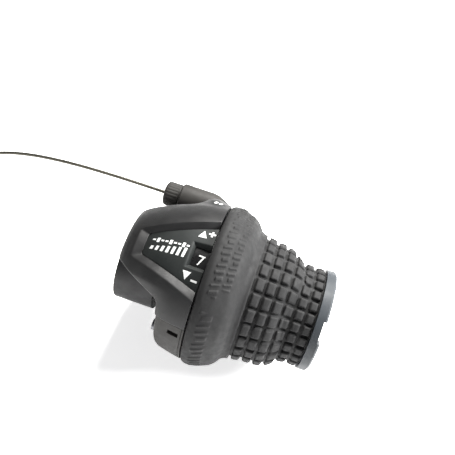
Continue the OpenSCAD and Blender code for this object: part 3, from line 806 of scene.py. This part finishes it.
# the waffle's blocks: rows round the grip, and their pitch along it from WAFFLE_X
ROWS, PITCH = 26, 3.4
WAFFLE_X = 34.5
GROOVE_HALF, GROOVE_DEPTH = 0.36, 1.0
BLOCK_CORNER, BLOCK_ROUND = 0.6, 0.62
GRIP_START, GRIP_END = 20.4, 54.9
BAR_HEIGHT = 0.3


def bar_marks(x, angle, r):
    """Raised slanting bars round the collar, in two rows and in one taller row: 1 on a bar, 0 off.

    Each kind of row has its starts round the collar, its span, middle, height and pitch.
    """
    total = np.zeros_like(x)
    for starts, span, middle, tall, pitch in (((48, 228), 90, 24.5, 2.7, 1.9),
                                              ((54, 234), 78, 27.7, 2.3, 1.7),
                                              ((148, 328), 58, 24.8, 3.7, 2.3)):
        arc = np.radians(angle) * r + 0.3 * (x - middle)
        cell = np.floor(arc / pitch)
        local = arc - (cell + 0.5) * pitch
        wide = pitch * (0.5 + 0.14 * ((cell * 7) % 3 - 1))
        # every third bar is cut short at one end, so the rows read as a pressed texture
        short = np.where((cell * 5) % 3 == 1, 0.7, 0.0)
        inside = np.minimum(tall / 2 - np.abs(x - middle - short / 2) - short / 2,
                            wide / 2 - np.abs(local))
        for start in starts:
            within = np.minimum(angle - start, start + span - angle) * math.radians(1) * r
            total = np.maximum(total, ramp(np.minimum(inside, within), 0.16, 0.04))
    return np.clip(total, 0, 1)


def make_grip(material):
    x = steps((GRIP_START, 21.2, 0.1), (21.2, 34.2, 0.14), (34.2, GRIP_END, 0.13))
    cols = ROWS * 28
    angle = np.arange(cols) * 360 / cols
    xx, aa = np.meshgrid(x, angle, indexing="ij")
    lobe = 1.5 * np.cos(np.radians(3 * (aa - 150))) + 0.5 * np.cos(np.radians(5 * aa + 40))
    fade = smoothstep((xx - 37) / 4) * smoothstep((53.5 - xx) / 3)
    top = curve_through(BLOCKS, xx + lobe * fade)
    across = (xx - WAFFLE_X) / PITCH
    local_x = (across - np.floor(across) - 0.5) * PITCH
    around_pitch = 2 * np.pi * top / ROWS
    turns = aa / 360 * ROWS
    local_a = (turns - np.floor(turns) - 0.5) * around_pitch
    cell = np.floor(across) * 31 + np.floor(turns)
    # a number from 0 to 1 for each block, which looks random but is the same in every run
    odd = np.sin(cell * 12.9898) * 43758.5453
    odd = odd - np.floor(odd)
    # distance past the edge of a block with rounded corners, negative inside it
    q = np.stack([np.abs(local_x) - (PITCH / 2 - GROOVE_HALF) + BLOCK_CORNER,
                  np.abs(local_a) - (around_pitch / 2 - GROOVE_HALF) + BLOCK_CORNER])
    reach = np.hypot(*np.maximum(q, 0)) + np.minimum(np.maximum(q[0], q[1]), 0) - BLOCK_CORNER
    t = np.clip(-reach / BLOCK_ROUND, 0, 1)
    height = 0.95 * np.sqrt(np.clip(1 - (1 - t) ** 2, 0, 1)) + 0.05 * odd
    crown = 0.1 * (1 - np.clip((np.abs(local_x) / 1.4) ** 2, 0, 1))
    waffle = top - GROOVE_DEPTH + np.where(t > 0, height + crown * t, 0)
    waffle = np.where(xx > GRIP_END - 0.02, top - 0.8, waffle)
    smooth_part = curve_through(COLLAR, xx) + BAR_HEIGHT * bar_marks(xx, aa, 25.5)
    mix = smoothstep((xx - 33.9) / 0.35)
    radii = smooth_part * (1 - mix) + waffle * mix
    # the grooves' floor stays outside the sleeve
    radii = np.where(xx > 34, np.maximum(radii, table(SLEEVE, xx) + 0.12), radii)
    points = polar(xx, radii, aa)
    first = polar(np.full(cols, GRIP_START), 24.3, angle)[None]
    last = polar(np.full(cols, GRIP_END + 0.05), 14.05, angle)[None]
    grip = grid_object("grip_cover", np.concatenate([first, points, last]), material, closed=True)
    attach(grip, "grip")
    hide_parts("grip_rubber")


# ------------------------------------------------------------------ numerals and printed marks


DIGIT_X, DIGIT_ANGLE, DIGIT_TALL, CLICK = 18.0, 116.8, 3.2, 19
CAP_HEIGHT = 0.73
INK = 0.025
PLUS_AT, MINUS_AT = (18.7, 95.6), (18.3, 132.4)


def numeral(text, x, angle, tall, r, material):
    """A generic digit wrapped onto the number ring, reading along the bar."""
    curve = bpy.data.curves.new("digit", "FONT")
    curve.body = text
    curve.size = 1.0
    curve.align_x = "CENTER"
    curve.align_y = "CENTER"
    curve.resolution_u = 6
    curve.offset = 0.004
    thing = link(bpy.data.objects.new("digit", curve))
    bpy.context.view_layer.update()
    mesh = bpy.data.meshes.new_from_object(thing.evaluated_get(bpy.context.evaluated_depsgraph_get()))
    bpy.data.objects.remove(thing)
    bm = bmesh.new()
    bm.from_mesh(mesh)
    bmesh.ops.remove_doubles(bm, verts=bm.verts, dist=1e-5)
    for cut in range(3):
        for axis in ((1, 0, 0), (0, 1, 0)):
            for place in (-0.3, -0.2, -0.1, 0.0, 0.1, 0.2, 0.3):
                bmesh.ops.bisect_plane(bm, geom=bm.verts[:] + bm.edges[:] + bm.faces[:],
                                       plane_co=Vector(axis) * (place + cut * 0.033), plane_no=axis)
    size = tall / CAP_HEIGHT
    for v in bm.verts:
        a = angle - math.degrees(v.co.y * size / r)
        v.co = Vector(polar(x + v.co.x * size, r, a))
    bm.to_mesh(mesh)
    bm.free()
    mesh.materials.clear()
    mesh.materials.append(material)
    return link(bpy.data.objects.new("digit", mesh))


def patch(corners, surface, material, n=6):
    """A four-cornered printed patch, (x, angle) corners, laid just over a surface."""
    c = np.array(corners, float)
    u, v = np.meshgrid(np.linspace(0, 1, n), np.linspace(0, 1, n), indexing="ij")
    place = ((1 - u) * (1 - v))[..., None] * c[0] + (u * (1 - v))[..., None] * c[1] \
        + (u * v)[..., None] * c[2] + ((1 - u) * v)[..., None] * c[3]
    x, a = place[..., 0], place[..., 1]
    return grid_object("patch", polar(x, surface(x, a) + INK, a), material)


def box_mark(x, angle, wide, tall, surface, material, lean=0.0):
    """A bar wide along the bar and tall round it, leaning along the bar by lean."""
    r = float(np.mean(surface(np.array([x]), np.array([angle]))))
    half = math.degrees(tall / 2 / r)
    return patch([(x - wide / 2 + lean / 2, angle - half), (x + wide / 2 + lean / 2, angle - half),
                  (x + wide / 2 - lean / 2, angle + half), (x - wide / 2 - lean / 2, angle + half)],
                 surface, material)


def arrow_mark(x, angle, wide, tall, up, surface, material):
    r = float(surface(np.array([x]))[0])
    half = math.degrees(tall / 2 / r) * (-1 if up else 1)
    return patch([(x - wide / 2, angle - half), (x + wide / 2, angle - half), (x + 0.02, angle + half),
                  (x - 0.02, angle + half)], surface, material, 8)


def make_prints(ink):
    digits = [numeral(str(7 - i), DIGIT_X, DIGIT_ANGLE - CLICK * i, DIGIT_TALL, NUMBER_R + 0.05, ink)
              for i in range(7)]
    dial = join("dial_numbers", digits)
    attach(dial, "grip")
    marks = [arrow_mark(16.2, 97.0, 2.5, 2.5, True, plate_r, ink),
             arrow_mark(15.6, 130.2, 2.5, 2.5, False, plate_r, ink),
             box_mark(*PLUS_AT, 2.0, 0.55, plate_r, ink),
             box_mark(*PLUS_AT, 0.55, 2.0, plate_r, ink),
             box_mark(*MINUS_AT, 1.9, 0.6, plate_r, ink)]
    # a row of dashes, seven rising bars under it, and two small marks on the cover
    for i in range(9):
        marks.append(box_mark(2.9 + i * 1.3, 109.6, 0.85, 0.5 + 0.9 * (i % 3 == 1), plate_r, ink, 0.12))
    for i in range(7):
        x, tall, base = 3.0 + i * 1.65, 1.1 + 0.3 * i, 118.6
        r = float(plate_r(np.array([x]))[0])
        marks.append(box_mark(x, base - math.degrees(tall / 2 / r), 0.85, tall, plate_r, ink, 0.3))
    for i in range(2):
        marks.append(box_mark(15.4 + 1.5 * i, 58.5, 0.9, 1.3, cover_r, ink, 0.5))
    prints = join("printed_marks", marks)
    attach(prints, "shifter_body")


# ------------------------------------------------------------------ materials for the frame's slots


def make_materials():
    return {
        "cover_plastic": moulded_plastic("cover_plastic", (0.0145, 0.0145, 0.0148), 0.46),
        "display_plastic": moulded_plastic("display_plastic", (0.013, 0.0155, 0.015), 0.6, grain=7000),
        "housing_plastic": moulded_plastic("housing_plastic", (0.024, 0.0225, 0.0205), 0.58, 0.5, 6000),
        "body_plastic": moulded_plastic("body_plastic", (0.009, 0.009, 0.0095), 0.5),
        "sleeve_plastic": moulded_plastic("sleeve_plastic", (0.029, 0.0335, 0.038), 0.5),
        "number_plastic": moulded_plastic("number_plastic", (0.008, 0.008, 0.0085), 0.3, 0.15),
        "gear_plastic": moulded_plastic("gear_plastic", (0.62, 0.6, 0.52), 0.4, 0.2, 5000, 1.1),
        "drum_plastic": moulded_plastic("drum_plastic", (0.7, 0.69, 0.66), 0.42, 0.2, 5000, 1.1),
        "tie_plastic": moulded_plastic("tie_plastic", (0.015, 0.015, 0.015), 0.38),
        "grip_rubber": rubber("grip_rubber", (0.02, 0.02, 0.0203)),
        "bolt_steel": steel("bolt_steel", (0.16, 0.16, 0.17)),
        "spring_steel": steel("spring_steel", (0.5, 0.5, 0.52), 0.26),
        "guide_brass": steel("guide_brass", (0.62, 0.5, 0.26)),
        "wire_steel": steel("wire_steel", (0.3, 0.29, 0.25), 0.4),
    }


def dress_nodes(made):
    """Gives every node of the frame the material of its own slot."""
    slots = {part["node"]: part["material_slot"] for part in frame["record"]["subparts"]}
    for name, obj in frame["nodes"].items():
        obj.data.materials.clear()
        obj.data.materials.append(made[slots[name]])


make_wire()
materials = make_materials()
dress_nodes(materials)
make_cover(materials["cover_plastic"])
make_plate(materials["display_plastic"])
make_housing(materials["housing_plastic"])
make_barrel(materials["housing_plastic"])
make_grip(materials["grip_rubber"])
make_prints(white_print("white_ink"))
